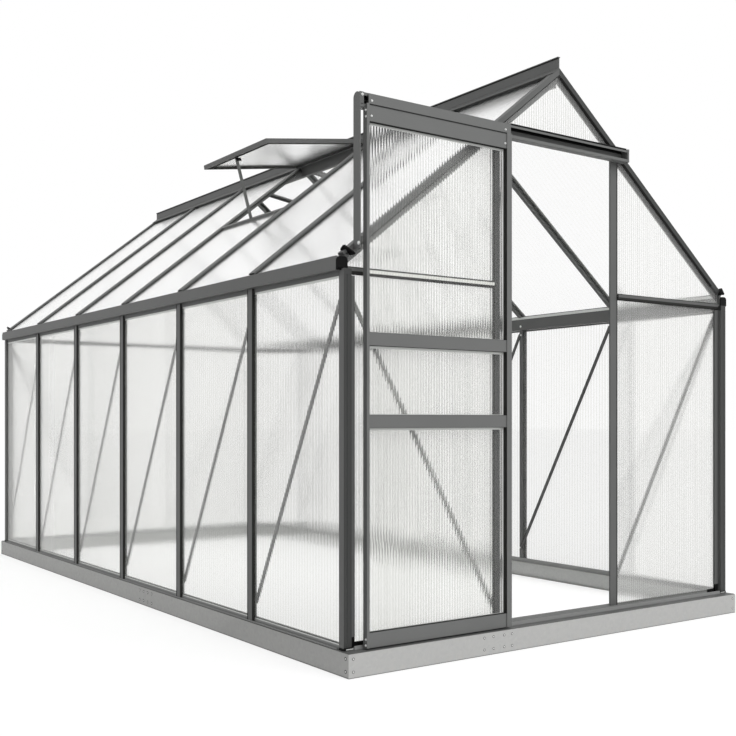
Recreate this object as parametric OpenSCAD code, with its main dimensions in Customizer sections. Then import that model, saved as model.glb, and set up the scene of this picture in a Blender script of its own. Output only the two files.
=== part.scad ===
// Polycarbonate greenhouse: an aluminium bar frame on a galvanised base rail,
// glazed with twin-wall sheet, with a sliding door and two propped roof vents.
// Millimetres. X runs across the gable, Y from the front gable to the rear one,
// Z up. The origin is on the ground, in the middle of the plan.

/* [Plan] */
// Pitch of the glazing bars
bay = 620; // [560:5:700]
// Number of bays along each side wall
side_bays = 6; // [4:2:8]
// Reach of the side wall faces beyond the third gable bay
side_reach = 63; // [60:1:90]
// Distance from the last bar's centre line back to the gable wall face
gable_inset = 10; // [6:1:16]

/* [Base] */
// Height of the galvanised base rail
base_h = 78; // [60:1:120]
// Thickness of the base sheet
base_t = 2; // [1.5:0.5:3]
// Base face outside the side wall face
base_side_ledge = 9; // [8:1:20]
// Base face outside the gable wall face
base_gable_ledge = 56; // [54:1:80]
// Width of the top flange along the side walls
base_side_flange = 50; // [40:1:70]
// Width of the hem under the base
base_hem = 15; // [10:1:30]

/* [Walls and roof] */
// Height of the gutter's top edge
eave_h = 1358; // [1200:10:1600]
// Pitch of the roof in degrees
pitch = 38.5; // [30:0.5:45]
// Height of the gutter's outer wall
gutter_h = 46; // [36:1:60]
// Gutter face outside the side wall face
gutter_reach = 19; // [16:1:40]
// Height of the ridge fin above the roof's top line
ridge_fin = 44; // [20:1:70]

/* [Bars] */
// Width of a glazing bar's outer cap
bar_w = 40; // [34:1:46]
// Depth of the outer cap
cap_d = 10; // [8:1:14]
// Depth of the bar from its outer face to its inner face
bar_d = 24; // [22:1:32]
// Width of a bar's inner flange
flange_w = 20; // [14:1:26]
// Width of the tie bars across the gables
tie_w = 18; // [14:1:24]
// Height of the tie bars' centre line
tie_z = 1315; // [1000:5:1320]
// Thickness of the twin-wall sheet
pane_t = 4; // [4:1:6]
// Width of the flat braces
brace_w = 14; // [10:1:20]
// Thickness of the flat braces
brace_t = 3; // [2:0.5:4]

/* [Door] */
// Width of the sliding door
door_w = 636.5; // [600:0.5:680]
// Height of the doorway under its header
doorway_h = 1856; // [1720:2:1856]
// Distance that the door slides
door_travel = 604; // [500:2:620]
// Depth of the door's stiles
door_d = 22; // [22:1:30]
// Width of the door's plain stile
stile_w = 10.5; // [8:0.5:20]
// Width of the door's grip stile
grip_stile_w = 23; // [18:1:30]
// Height of the door's bottom rail
bottom_rail_h = 49; // [30:1:60]
// Height of each middle rail
mid_rail_h = 42; // [30:1:50]
// Height of the door's top rail below the track
top_rail_h = 40; // [30:1:60]
// Centre height of the lower middle rail
low_rail_z = 822; // [500:2:900]
// Centre height of the upper middle rail
high_rail_z = 1091; // [1000:1:1300]

/* [Vents] */
// Length of a vent from its hinge to its outer edge
vent_l = 540; // [450:5:560]
// Opening angle of the vents in degrees
vent_angle = 30; // [15:1:35]
// Distance down the slope to the vent opening's lower edge
vent_opening = 600; // [560:5:700]
// Thickness of the vent frame
vent_t = 20; // [12:1:26]
// Width of the vent frame's bars
vent_bar = 25; // [18:1:35]

/* [Hidden] */

frame_col = [0.33, 0.34, 0.34];
steel_col = [0.72, 0.72, 0.71];
black_col = [0.08, 0.08, 0.08];
sheet_col = [0.86, 0.89, 0.90, 0.5];

// Plan: wall faces and the base's outer faces, measured from the middle
side_x = 1.5 * bay + side_reach;
half_l = side_bays * bay / 2;
gable_y = half_l - gable_inset;
base_x = side_x + base_side_ledge;
base_y = gable_y + base_gable_ledge;
door_post_x = bay / 2;

// Depths inwards from a wall's outer face
pane_out = cap_d;
pane_in = cap_d + pane_t;
face_t = 2;                       // wall thickness of the cap's face and lips
web_t = 3;
slip = 1;                         // side play of a sheet beside a bar's web

// Sill levels
sill_t = 2;
sill_z = base_h + sill_t;         // seat of the sheets and corner posts
rib_h = 4;                        // outer rib that the posts' feet stand on
lip_z = sill_z + 12;
back_z = sill_z + 18;
sill_ledge_in = 2;                // sill's edge inside the base's face
base_gable_flange = base_gable_ledge + bar_d;

// Corner posts
corner_leg = 28;                  // width of the side-facing leg
corner_out = 14;                  // how far it stands outside the gable face
corner_front = 31;                // width of the gable-facing leg
corner_core = bar_d - pane_in;    // the core ends level with the bars inside
corner_cap = 17;                  // from the core to the sill's ribs
corner_strip = 29;                // width of the strip beside the gable sheet
corner_cap_z = sill_z + 39;       // height where that strip begins
groove = 1.5;

// Roof
tan_p = tan(pitch);
cos_p = cos(pitch);
sin_p = sin(pitch);
gutter_x = side_x + gutter_reach;
apex_z = eave_h - 6 + tan_p * gutter_x;
rafter_end = (gutter_x - 24) / cos_p;
core_x = 10;                      // half width of the ridge beam's core
rafter_start = (core_x + bar_d * sin_p + 2) / cos_p;
ridge_flange = 40;
ridge_t = 3;
ridge_depth = 66;                 // depth of the core below the apex
fin_t = 4;
gable_face_h = 19;                // height of a gable rafter's front lip
gable_seat = 12;                  // depth of the gable sheet's seat behind it
gable_flange_h = 42;              // reach of its inner flange behind the sheet
gable_cap = 30;                   // width of its cap on the roof
eave_beam_out = side_x - pane_in; // outer side of the eave beam
eave_beam_t = 12;
eave_beam_in = eave_beam_out - eave_beam_t;
eave_under = eave_h - gutter_h;   // underside of the gutter
wall_top = eave_under - 14;       // underside of the eave beam
beam_half = gable_y - bar_d;      // half length of the eave beams
end_cap_t = 4;
gutter_half = gable_y - end_cap_t;
clip_back = 20;                   // from a rafter's clip to the rafter's end
clip_rise = 15;                   // how far the clip stands above the rafter
clip_nose = 30;                   // how far it stands before the gable's face

// Levels of the roof planes, as heights over a distance x from the middle
function roof_z(x, depth) = apex_z - depth / cos_p - tan_p * x;

// Door and track
track_back = gable_y;             // the track's back lies on the wall face
track_d = 34;
track_z0 = doorway_h - 12;
track_h = 47;
track_t = 2;
track_lip = 10;
door_run = 5;                     // running clearance round the door
door_front = track_back + track_d + door_run + 5;
door_back = door_front - door_d;
door_x1 = door_w / 2 - door_travel;
door_x0 = door_x1 - door_w;
door_z0 = sill_z + door_run;
door_z1 = track_z0 - door_run;    // top of the full-depth rails and stiles
hanger_z0 = track_z0 + 11;
hanger_z1 = track_z0 + track_h - 3;
hanger_t = 4;
hanger_inset = 8;
rail_recess = 3;
door_pane_out = door_front - 18;
strut_t = 4;
strut_gap = 19.5;                 // from the strut to the open door
strut_x = door_x0 - strut_gap;
strut_tab = 16;
strut_foot = 26;
strut_foot_h = 20;
track_x0 = strut_x;
track_x1 = door_w / 2 + 26;
roller_r = 14;
roller_w = 10;
axle_r = 4;
running = 0.3;
guide_t = 4;                      // guide fin on the front sill
guide_y = door_back - 6;
guide_z = sill_z + 12;
guide_play = 1.5;
header_h = 16;

// Vents
vent_w = bay - 6;
hinge_s = ridge_flange + running;
vent_sill_w = 18;
stay_w = 16;
stay_t = 3;

// Side bars that stand between the corner posts, and all bays
bar_ys = [for (i = [1 : side_bays - 1]) -half_l + i * bay];
bay_starts = [for (i = [0 : side_bays - 1]) -half_l + i * bay];
left_vent_bay = side_bays / 2 - 1;
right_vent_bay = side_bays / 2;

/* ---------- helpers ---------- */

module flip_x(on) { mirror([on ? 1 : 0, 0, 0]) children(); }
module flip_y(on) { mirror([0, on ? 1 : 0, 0]) children(); }

// Box from one corner to the opposite one
module block(a, b) { translate(a) cube(b - a); }

// Section of a glazing bar: inside towards -y, and the outer face on y = 0 or
// set back from it by the recess
module bar_section(w = bar_w, fw = flange_w, recess = 0) {
  translate([-w / 2, -recess - face_t]) square([w, face_t]);
  for (m = [0, 1]) mirror([m, 0])
    translate([w / 2 - face_t, -cap_d]) square([face_t, cap_d - recess]);
  translate([-web_t / 2, -bar_d]) square([web_t, bar_d - recess]);
  translate([-fw / 2, -bar_d]) square([fw, bar_d - pane_in]);
}

// Upright bar with its outer face towards +Y. Between foot_z and full_z, and
// above full_top, only the cap's face runs on, over the sill and the eave.
module upright(foot_z, full_z, full_top, top_z, recess = 0) {
  translate([0, 0, full_z]) linear_extrude(full_top - full_z)
    bar_section(recess = recess);
  translate([-bar_w / 2, -recess - face_t, foot_z])
    cube([bar_w, face_t, top_z - foot_z]);
}

// Level bar along X with its outer face towards +Y, centred on z = 0
module level_bar(x0, x1, w, fw) {
  translate([x0, 0, 0]) rotate([0, 90, 0])
    linear_extrude(x1 - x0) bar_section(w, fw);
}

// Frame of a roof slope: X runs down it from the apex, Z points outwards
module slope(left) {
  flip_x(left) translate([0, 0, apex_z]) rotate([0, pitch, 0]) children();
}

// Frame of an open vent on a slope, hinged beside the ridge flange
module vent_frame_at(left) {
  yc = bay_starts[left ? left_vent_bay : right_vent_bay] + bay / 2;
  slope(left) translate([hinge_s, yc, ridge_t])
    rotate([0, -vent_angle, 0]) children();
}

// Flat bar between two points in the YZ plane, its face towards X
module flat_brace(p, q) {
  run = q - p;
  reach = norm(run);
  translate([0, p[0], p[1]]) rotate([atan2(run[1], run[0]), 0, 0])
    translate([0, -brace_w / 2, -brace_w / 2])
      cube([brace_t, reach + brace_w, brace_w]);
}

/* ---------- base and sills ---------- */

module base_gable_side() {
  block([-base_x, base_y - base_t, 0], [base_x, base_y, base_h]);
  block([-base_x + base_t, base_y - base_gable_flange, base_h - base_t],
        [base_x - base_t, base_y - base_t, base_h]);
  block([-base_x + base_t, base_y - base_hem, 0],
        [base_x - base_t, base_y - base_t, base_t]);
}

module base_long_side() {
  run = base_y - base_t;
  block([base_x - base_t, -run, 0], [base_x, run, base_h]);
  top_run = base_y - base_gable_flange;
  block([base_x - base_side_flange, -top_run, base_h - base_t],
        [base_x - base_t, top_run, base_h]);
  hem_run = base_y - base_hem;
  block([base_x - base_hem, -hem_run, 0], [base_x - base_t, hem_run, base_t]);
}

module base_front() { color(steel_col) flip_y(true) base_gable_side(); }
module base_rear() { color(steel_col) base_gable_side(); }
module base_left() { color(steel_col) flip_x(true) base_long_side(); }
module base_right() { color(steel_col) base_long_side(); }

// Sill section over the distance inwards from the wall face: seat plate, outer
// rib, lip before the sheet and upstand behind it
module sill_ribs(run, face) {
  module rib(a, b, top) {
    block([-run, face - b, sill_z - sill_t], [run, face - a, top]);
  }
  rib(-3, 1, sill_z + rib_h);
  rib(pane_out - face_t, pane_out, lip_z);
  rib(pane_in, bar_d, back_z);
}

module gable_sill(guide) {
  edge = base_y - sill_ledge_in;
  block([-base_x + sill_ledge_in, gable_y - bar_d, base_h],
        [base_x - sill_ledge_in, edge, sill_z]);
  inner_run = side_x - pane_in - corner_core - corner_cap;
  sill_ribs(inner_run, gable_y);
  if (guide)
    block([-inner_run, guide_y - guide_t, base_h],
          [inner_run, guide_y, guide_z]);
}

module long_sill() {
  run = gable_y - bar_d;
  block([side_x - bar_d, -run, base_h], [base_x - sill_ledge_in, run, sill_z]);
  rotate([0, 0, -90]) sill_ribs(run, side_x);
}

module sill_front() { color(frame_col) flip_y(true) gable_sill(true); }
module sill_rear() { color(frame_col) gable_sill(false); }
module sill_left() { color(frame_col) flip_x(true) long_sill(); }
module sill_right() { color(frame_col) long_sill(); }

/* ---------- uprights ---------- */

post_foot = sill_z + rib_h;

module corner_section(with_cap) {
  in_x = side_x - pane_in;
  core_in = in_x - corner_core;
  front_in = side_x - corner_front;
  front_y = gable_y + corner_out;
  difference() {
    union() {
      translate([side_x - cap_d, front_y - corner_leg]) square([cap_d, corner_leg]);
      translate([front_in, gable_y])
        square([side_x - cap_d - front_in, corner_out]);
      translate([core_in, gable_y - bar_d]) square([corner_core, bar_d]);
      translate([core_in - cap_d, gable_y - bar_d])
        square([cap_d, bar_d - pane_in]);
      if (with_cap)
        translate([core_in - corner_strip, gable_y - cap_d])
          square([corner_strip, cap_d]);
    }
    translate([in_x, front_y - face_t]) square([groove, face_t + 1]);
  }
}

module corner_post() {
  translate([0, 0, sill_z]) linear_extrude(corner_cap_z - sill_z)
    corner_section(false);
  translate([0, 0, corner_cap_z]) linear_extrude(wall_top - corner_cap_z)
    corner_section(true);
  // The core runs on up past the eave beam's end
  core_out = side_x - pane_in;
  block([core_out - corner_core, gable_y - bar_d, wall_top],
        [core_out, gable_y, roof_z(core_out, cap_d)]);
}

module corner_posts() {
  color(frame_col) for (fx = [false, true], fy = [false, true])
    flip_x(fx) flip_y(fy) corner_post();
}

module long_wall_posts() {
  for (y = bar_ys) translate([side_x, y, 0]) rotate([0, 0, -90])
    upright(post_foot, back_z, wall_top, eave_under);
}

module left_wall_posts() { color(frame_col) flip_x(true) long_wall_posts(); }
module right_wall_posts() { color(frame_col) long_wall_posts(); }

// Keeps what stands under the gable rafters: the outer part below their front
// lips, and the rest below their inner flanges
module under_gable_rafters() {
  module under(depth, y0, y1) {
    translate([0, y1, 0]) rotate([90, 0, 0]) linear_extrude(y1 - y0)
      polygon([[-side_x, 0], [side_x, 0], [side_x, roof_z(side_x, depth)],
        [0, roof_z(0, depth)], [-side_x, roof_z(side_x, depth)]]);
  }
  intersection() {
    children();
    union() {
      under(gable_face_h, gable_y - cap_d, base_y);
      under(gable_flange_h, gable_y - bar_d, gable_y - cap_d);
    }
  }
}

// Gable posts stand on the sill's lip, a little behind the gable's face
module gable_post_pair() {
  under_gable_rafters() for (fx = [false, true]) flip_x(fx)
    translate([door_post_x, gable_y, 0])
      upright(lip_z, back_z, apex_z, apex_z, cap_d - face_t);
}

module front_door_posts() { color(frame_col) flip_y(true) gable_post_pair(); }
module rear_gable_posts() { color(frame_col) gable_post_pair(); }

/* ---------- eaves and ridge ---------- */

// Eave beam with the gutter outside it, in one section
module gutter() {
  rotate([90, 0, 0]) linear_extrude(2 * beam_half, center = true) {
    polygon([[eave_beam_in, wall_top], [eave_beam_out, wall_top],
      [eave_beam_out, roof_z(eave_beam_out, pane_in + running)],
      [eave_beam_in, roof_z(eave_beam_in, pane_in + running)]]);
    translate([side_x - cap_d, wall_top])
      square([2 * face_t, eave_under - wall_top + face_t]);
  }
  rotate([90, 0, 0]) linear_extrude(2 * gutter_half, center = true) {
    translate([eave_beam_out, eave_under])
      square([gutter_x - eave_beam_out, face_t]);
    translate([gutter_x - face_t, eave_under]) square([face_t, gutter_h]);
    translate([gutter_x - 3 * face_t, eave_h - face_t])
      square([3 * face_t, face_t]);
  }
}

module left_gutter() { color(frame_col) flip_x(true) gutter(); }
module right_gutter() { color(frame_col) gutter(); }

// Arch-topped plate that closes the end of a gutter
module gutter_end_cap() {
  w = gutter_x - eave_beam_out;
  translate([0, gutter_half + end_cap_t, 0]) rotate([90, 0, 0])
    linear_extrude(end_cap_t) intersection() {
      translate([eave_beam_out + w / 2, eave_h - w / 2])
        union() {
          circle(d = w, $fn = 48);
          translate([-w / 2, -gutter_h]) square([w, gutter_h]);
        }
      translate([eave_beam_out, eave_under]) square([w, gutter_h]);
    }
}

// Clip round the lower end of a gable rafter, over its cap and front lip
module rafter_clip() {
  slope(false) translate([rafter_end - clip_back, 0, 0])
    rotate([90, 0, 90]) linear_extrude(end_cap_t)
      polygon([[gable_y - gable_cap, 0], [gable_y, 0], [gable_y, -bar_d],
        [gable_y + clip_nose, -bar_d], [gable_y + clip_nose, -bar_d + 6],
        [gable_y + 4, clip_rise], [gable_y - 6, clip_rise],
        [gable_y - gable_cap, 5]]);
}

module eave_end_caps() {
  color(black_col) for (fx = [false, true], fy = [false, true])
    flip_x(fx) flip_y(fy) {
      gutter_end_cap();
      rafter_clip();
    }
}

module ridge_beam() {
  color(frame_col) {
    rotate([90, 0, 0]) linear_extrude(2 * (gable_y - ridge_t), center = true) {
      for (m = [0, 1]) mirror([m, 0]) translate([0, apex_z]) rotate(-pitch)
        square([ridge_flange, ridge_t]);
      translate([-fin_t / 2, apex_z]) square([fin_t, ridge_fin]);
      translate([-1.5 * fin_t, apex_z + ridge_fin - ridge_t])
        square([3 * fin_t, ridge_t]);
    }
    rotate([90, 0, 0]) linear_extrude(2 * (gable_y - gable_cap), center = true)
      polygon([[-core_x, apex_z - ridge_depth], [core_x, apex_z - ridge_depth],
        [core_x, roof_z(core_x, 0)], [0, apex_z], [-core_x, roof_z(core_x, 0)]]);
  }
}

/* ---------- roof bars ---------- */

module rafter_set(left) {
  inner_end = (eave_beam_in + pane_in * sin_p - slip) / cos_p;
  for (y = bar_ys) slope(left) translate([0, y, 0]) {
    translate([rafter_start, 0, 0]) rotate([90, 0, 90])
      linear_extrude(inner_end - rafter_start) bar_section();
    translate([inner_end, 0, 0]) rotate([90, 0, 90])
      linear_extrude(rafter_end - inner_end) difference() {
        bar_section();
        translate([-bar_w, -2 * bar_d]) square([2 * bar_w, 2 * bar_d - pane_in]);
      }
  }
}

module left_rafters() { color(frame_col) rafter_set(true); }
module right_rafters() { color(frame_col) rafter_set(false); }

// Gable rafter section: x from the gable face inwards, y square to the slope
module gable_rafter_section() {
  translate([0, -gable_face_h]) square([cap_d, gable_face_h]);
  translate([0, -cap_d]) square([gable_cap, cap_d]);
  translate([pane_in, -bar_d]) square([gable_cap - pane_in, bar_d - pane_in]);
  translate([cap_d, -gable_seat]) square([cap_d, gable_seat]);
  translate([pane_in, -gable_flange_h])
    square([2 * cap_d - pane_in, gable_flange_h]);
}

module gable_rafter_pair() {
  for (left = [false, true]) flip_x(left) {
    intersection() {
      slope(false) translate([0, gable_y, 0]) mirror([0, 1, 0])
        rotate([90, 0, 90]) linear_extrude(rafter_end) gable_rafter_section();
      block([running / 2, 0, 0], [eave_beam_in - slip, base_y, 2 * apex_z]);
    }
    intersection() {
      slope(false) block([0, gable_y - gable_cap, -cap_d],
                         [rafter_end, gable_y, 0]);
      block([running / 2, 0, 0], [2 * base_x, base_y, 2 * apex_z]);
    }
  }
}

module front_gable_rafters() { color(frame_col) flip_y(true) gable_rafter_pair(); }
module rear_gable_rafters() { color(frame_col) gable_rafter_pair(); }

/* ---------- level bars on the gables ---------- */

tie_out = side_x - pane_in - corner_core;
tie_in = door_post_x + bar_w / 2;
header_z = doorway_h + header_h / 2;

module tie_pair() {
  under_gable_rafters() for (fx = [false, true]) flip_x(fx)
    translate([0, gable_y, tie_z]) level_bar(tie_in, tie_out, tie_w, tie_w);
}

// Bar between the two gable posts
module middle_bar(z, w, fw) {
  x = door_post_x - bar_w / 2;
  under_gable_rafters() translate([0, gable_y, z]) level_bar(-x, x, w, fw);
}

module front_cross_bars() {
  color(frame_col) flip_y(true) {
    tie_pair();
    middle_bar(header_z, header_h, header_h);
  }
}

module rear_cross_bars() {
  color(frame_col) {
    tie_pair();
    middle_bar(tie_z, tie_w, tie_w);
  }
}

/* ---------- braces ---------- */

brace_low = sill_z + 70;
brace_high = wall_top - 24;
brace_x = side_x - bar_d - brace_t;
brace_corner_y = gable_y - bar_d / 2;

// Wall braces, cut off against the inner flanges of the corner posts
module long_wall_braces() {
  intersection() {
    for (y = bay_starts) {
      front = max(y, -brace_corner_y);
      rear = min(y + bay, brace_corner_y);
      translate([brace_x, 0, 0])
        flat_brace([rear - 4, brace_low], [front + 4, brace_high]);
    }
    block([0, -gable_y + bar_d, 0], [side_x, gable_y - bar_d, apex_z]);
  }
}

module left_wall_braces() { color(frame_col) flip_x(true) long_wall_braces(); }
module right_wall_braces() { color(frame_col) long_wall_braces(); }

// Gable braces, cut off just short of the wall braces
module gable_brace_pair() {
  post = [door_post_x + 4, brace_low];
  corner = [side_x - bar_d - 6, brace_high];
  for (fx = [false, true]) flip_x(fx) intersection() {
    translate([0, gable_y - bar_d, 0]) rotate([0, 0, -90])
      flat_brace(post, corner);
    block([0, 0, 0], [brace_x - slip, gable_y, apex_z]);
  }
}

module front_gable_braces() { color(frame_col) flip_y(true) gable_brace_pair(); }
module rear_gable_braces() { color(frame_col) gable_brace_pair(); }

/* ---------- sheets ---------- */

side_play = web_t / 2 + slip;
sheet_end_y = gable_y - face_t;   // side sheets' ends inside the corner posts

function bay_low(y, end) = max(y + side_play, -end);
function bay_high(y, end) = min(y + bay - side_play, end);

module long_wall_panels() {
  for (y = bay_starts)
    block([side_x - pane_in, bay_low(y, sheet_end_y), sill_z],
          [side_x - pane_out, bay_high(y, sheet_end_y), eave_under]);
}

module left_wall_panels() { color(sheet_col) flip_x(true) long_wall_panels(); }
module right_wall_panels() { color(sheet_col) long_wall_panels(); }

module roof_panel_set(left) {
  end = gable_y - bar_d - slip;
  vent_bay = left ? left_vent_bay : right_vent_bay;
  for (i = [0 : side_bays - 1]) slope(left)
    block([i == vent_bay ? vent_opening + vent_sill_w : rafter_start,
           bay_low(bay_starts[i], end), -pane_in],
          [rafter_end, bay_high(bay_starts[i], end), -pane_out]);
}

module left_roof_panels() { color(sheet_col) roof_panel_set(true); }
module right_roof_panels() { color(sheet_col) roof_panel_set(false); }

gable_sheet_x = side_x - pane_in - corner_core - slip;
post_play = door_post_x + side_play;
tie_play = web_t / 2 + slip;
post_in = door_post_x - bar_w / 2;
post_out = door_post_x + bar_w / 2;
seat = gable_seat + running;      // depth of the sheets' edges in the rafters
post_seat = gable_face_h + running;

// Right half of a gable's glazing: inside the corner post and under the rafter's
// seat, stepped down over the gable post
half_glazing = [[gable_sheet_x, sill_z], [gable_sheet_x, roof_z(gable_sheet_x, seat)],
  [post_out, roof_z(post_out, seat)], [post_out, roof_z(post_out, post_seat)],
  [post_in, roof_z(post_in, post_seat)], [post_in, roof_z(post_in, seat)],
  [0, roof_z(0, seat)]];
glazing = concat(half_glazing, [for (i = [len(half_glazing) - 2 : -1 : 0])
  [-half_glazing[i][0], half_glazing[i][1]]]);

// Sheet cut from the glazing between two distances across and two heights
module gable_sheet(x0, x1, z0, z1) {
  translate([0, gable_y - pane_out, 0]) rotate([90, 0, 0]) linear_extrude(pane_t)
    intersection() {
      polygon(glazing);
      translate([x0, z0]) square([x1 - x0, z1 - z0]);
    }
}

module gable_side_sheets() {
  for (fx = [false, true]) flip_x(fx) {
    gable_sheet(post_play, side_x, sill_z, tie_z - tie_play);
    gable_sheet(post_play, side_x, tie_z + tie_play, apex_z);
  }
}

module gable_middle_sheet(z0, z1) {
  x = door_post_x - side_play;
  gable_sheet(-x, x, z0, z1);
}

module front_gable_panels() {
  color(sheet_col) flip_y(true) {
    gable_side_sheets();
    gable_middle_sheet(header_z + tie_play, apex_z);
  }
}

module rear_gable_panels() {
  color(sheet_col) {
    gable_side_sheets();
    gable_middle_sheet(sill_z, tie_z - tie_play);
    gable_middle_sheet(tie_z + tie_play, apex_z);
  }
}

/* ---------- vents ---------- */

module vent_frames() {
  color(frame_col) for (left = [false, true]) vent_frame_at(left)
    difference() {
      block([0, -vent_w / 2, 0], [vent_l, vent_w / 2, vent_t]);
      block([vent_bar, -vent_w / 2 + vent_bar, -1],
            [vent_l - vent_bar, vent_w / 2 - vent_bar, vent_t + 1]);
    }
}

module vent_panels() {
  color(sheet_col) for (left = [false, true]) vent_frame_at(left)
    block([vent_bar, -vent_w / 2 + vent_bar, (vent_t - pane_t) / 2],
          [vent_l - vent_bar, vent_w / 2 - vent_bar, (vent_t + pane_t) / 2]);
}

module vent_sill(left) {
  yc = bay_starts[left ? left_vent_bay : right_vent_bay] + bay / 2;
  run = (bay - bar_w) / 2;
  slope(left) block([vent_opening, yc - run, -bar_d],
                    [vent_opening + vent_sill_w, yc + run, 0]);
}

module vent_sills() { color(frame_col) for (left = [false, true]) vent_sill(left); }

// Flat stay from the vent's outer bar down to the sill of its opening
module vent_stay(left) {
  yc = bay_starts[left ? left_vent_bay : right_vent_bay] + bay / 2;
  reach = vent_l - vent_bar / 2;
  top = [hinge_s + reach * cos(vent_angle), ridge_t + reach * sin(vent_angle)];
  foot = [vent_opening + vent_sill_w / 2, 0];
  run = top - foot;
  difference() {
    slope(left) translate([foot[0], yc, foot[1]])
      rotate([0, -atan2(run[1], run[0]), 0])
        translate([-stay_w, -stay_t / 2, -stay_w / 2])
          cube([norm(run) + 2 * stay_w, stay_t, stay_w]);
    slope(left) block([0, yc - bay / 2, -2 * bar_d],
                      [rafter_end, yc + bay / 2, 0]);
    vent_frame_at(left) block([0, -bay / 2, 0], [2 * vent_l, bay / 2, bar_w]);
  }
}

module vent_stays() { color(frame_col) for (left = [false, true]) vent_stay(left); }

/* ---------- door track ---------- */

module door_track() {
  color(frame_col) flip_y(true) {
    translate([track_x0, 0, 0]) rotate([90, 0, 90])
      linear_extrude(track_x1 - track_x0) translate([track_back, track_z0])
        difference() {
          square([track_d, track_h]);
          translate([track_t, track_t])
            square([track_d - 2 * track_t, track_h - 2 * track_t]);
          translate([track_d / 2, track_lip])
            square([track_d, track_h - 2 * track_lip]);
        }
    block([track_x1 - track_t, track_back, track_z0],
          [track_x1, track_back + track_d, track_z0 + track_h]);
  }
}

// Flat strut under the track's free end, with an arched top, a front tab and a
// foot on the gable rafter
module track_strut() {
  d = track_d + 3;
  foot_x1 = strut_x - strut_t + strut_foot;
  foot_z0 = roof_z(-strut_x + strut_t, 0) - strut_foot_h;
  foot_z1 = roof_z(-strut_x + strut_t, 0) - 4;
  top_z = track_z0 + track_h + 3 - d / 2;
  color(frame_col) flip_y(true) {
    block([strut_x - strut_t, track_back, foot_z0],
          [strut_x, track_back + d, top_z]);
    translate([strut_x - strut_t, track_back + d / 2, top_z])
      rotate([0, 90, 0]) cylinder(h = strut_t, r = d / 2, $fn = 48);
    block([strut_x - strut_t, track_back + track_d, track_z0 + 9],
          [strut_x - strut_t + strut_tab, track_back + d, track_z0 + track_h]);
    block([strut_x - strut_t, track_back, foot_z0],
          [foot_x1, track_back + strut_t, foot_z1]);
  }
}

/* ---------- sliding door ---------- */

module stile(x0, x1) {
  block([x0, door_back, door_z0], [x1, door_front, door_z1]);
  block([x0, track_back + track_d + door_run, door_z1 - 1],
        [x1, door_front, hanger_z0]);
}

module door_stiles() {
  color(frame_col) flip_y(true) {
    stile(door_x0, door_x0 + stile_w);
    stile(door_x1 - grip_stile_w, door_x1);
  }
}

rail_x0 = door_x0 + stile_w;
rail_x1 = door_x1 - grip_stile_w;
rail_front = door_front - rail_recess;
rail_levels = [[door_z0, door_z0 + bottom_rail_h],
  [low_rail_z - mid_rail_h / 2, low_rail_z + mid_rail_h / 2],
  [high_rail_z - mid_rail_h / 2, high_rail_z + mid_rail_h / 2],
  [door_z1 - top_rail_h, door_z1]];

module door_rails() {
  color(frame_col) flip_y(true) {
    for (z = rail_levels)
      block([rail_x0, door_back, z[0]], [rail_x1, rail_front, z[1]]);
    block([rail_x0, track_back + track_d + door_run, door_z1 - 1],
          [rail_x1, rail_front, hanger_z0]);
  }
}

module door_panels() {
  color(sheet_col) flip_y(true) for (i = [0 : 2])
    block([rail_x0, door_pane_out - pane_t, rail_levels[i][1]],
          [rail_x1, door_pane_out, rail_levels[i + 1][0]]);
}

hanger_x0 = door_x0 + hanger_inset;
hanger_x1 = door_x1 - hanger_inset / 2;
hanger_back = track_back + track_d + door_run;

module door_hanger() {
  color(frame_col) flip_y(true)
    block([hanger_x0, hanger_back, hanger_z0],
          [hanger_x1, hanger_back + hanger_t, hanger_z1]);
}

// Wheel on a stub axle, running on the track's lower flange
module roller(x) {
  wheel_y = track_back + track_d / 2;
  translate([x, wheel_y - roller_w / 2, track_z0 + track_t + running + roller_r])
    rotate([-90, 0, 0]) {
      cylinder(h = roller_w, r = roller_r, $fn = 48);
      cylinder(h = hanger_back - wheel_y + roller_w / 2, r = axle_r, $fn = 32);
    }
}

module door_rollers() {
  color(black_col) flip_y(true) for (x = [hanger_x0 + 50, hanger_x1 - 50])
    roller(x);
}

module door_guides() {
  color(black_col) flip_y(true) for (x = [rail_x0 + 10, rail_x1 - 35])
    block([x, guide_y + guide_play, door_z0], [x + 25, door_back, door_z0 + 25]);
}

base_front();
base_rear();
base_left();
base_right();
sill_front();
sill_rear();
sill_left();
sill_right();
corner_posts();
left_wall_posts();
right_wall_posts();
front_door_posts();
rear_gable_posts();
left_gutter();
right_gutter();
eave_end_caps();
ridge_beam();
left_rafters();
right_rafters();
front_gable_rafters();
rear_gable_rafters();
front_cross_bars();
rear_cross_bars();
left_wall_braces();
right_wall_braces();
front_gable_braces();
rear_gable_braces();
left_wall_panels();
right_wall_panels();
left_roof_panels();
right_roof_panels();
front_gable_panels();
rear_gable_panels();
vent_frames();
vent_panels();
vent_sills();
vent_stays();
door_track();
track_strut();
door_stiles();
door_rails();
door_panels();
door_hanger();
door_rollers();
door_guides();
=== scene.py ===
# %% [markdown]
# # A greenhouse in Blender, from bars to daylight
# The real object is a small garden greenhouse: aluminium bars, bolted together on
# a galvanised steel base, hold stiff sheets of twin-wall polycarbonate. One gable
# has a sliding door, and each roof slope has one propped vent.
# The bars and sheets are already drawn as solids, so this notebook loads them as
# a fixed frame, gives every part its finish, with light and shade painted into a
# few of them, and adds the small things that a fitter adds last: seals, gaskets, tapes,
# caps, shoes, bolts and rivets.

# %% Load the frame
from math import cos, sin, tan, pi, radians

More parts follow.
